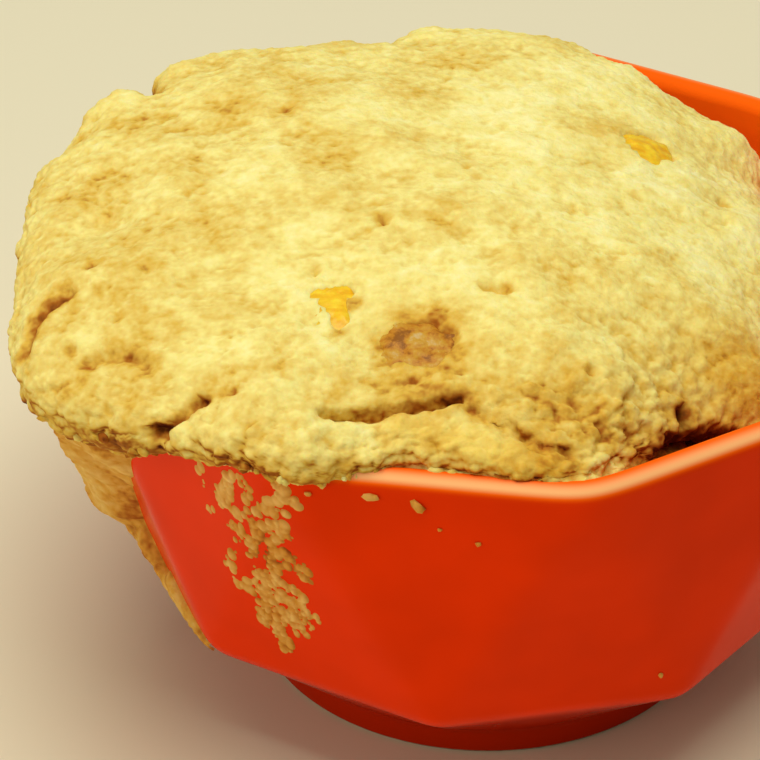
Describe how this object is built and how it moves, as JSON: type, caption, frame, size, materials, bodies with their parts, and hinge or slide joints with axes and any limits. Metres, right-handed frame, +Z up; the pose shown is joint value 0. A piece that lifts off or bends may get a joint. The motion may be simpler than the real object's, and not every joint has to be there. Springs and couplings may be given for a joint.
{
  "type": "mug cake in a faceted bowl",
  "caption": "Domed golden sponge cake with yellow fruit bits, baked in a glossy red-orange faceted ceramic bowl and run over its rim.",
  "frame": {"origin": "middle of the bowl's flat foot, on its underside, where the bowl's axis meets what it stands on", "axes": "+Z up along the bowl's axis; -Y is the front, towards the camera in the picture; +X is to the right"},
  "size_m": [0.1234, 0.1157, 0.0743],
  "materials": {
    "red_orange_glaze": "glossy",
    "golden_sponge": "matte, crumbly",
    "yellow_fruit": "moist",
    "browned_fruit": "sticky satin"
  },
  "bodies": {
    "root": {"bowl": "red_orange_glaze", "cake": "golden_sponge", "fruit_front": "yellow_fruit", "fruit_back": "yellow_fruit", "browned_piece": "browned_fruit"}
  },
  "joints": []
}
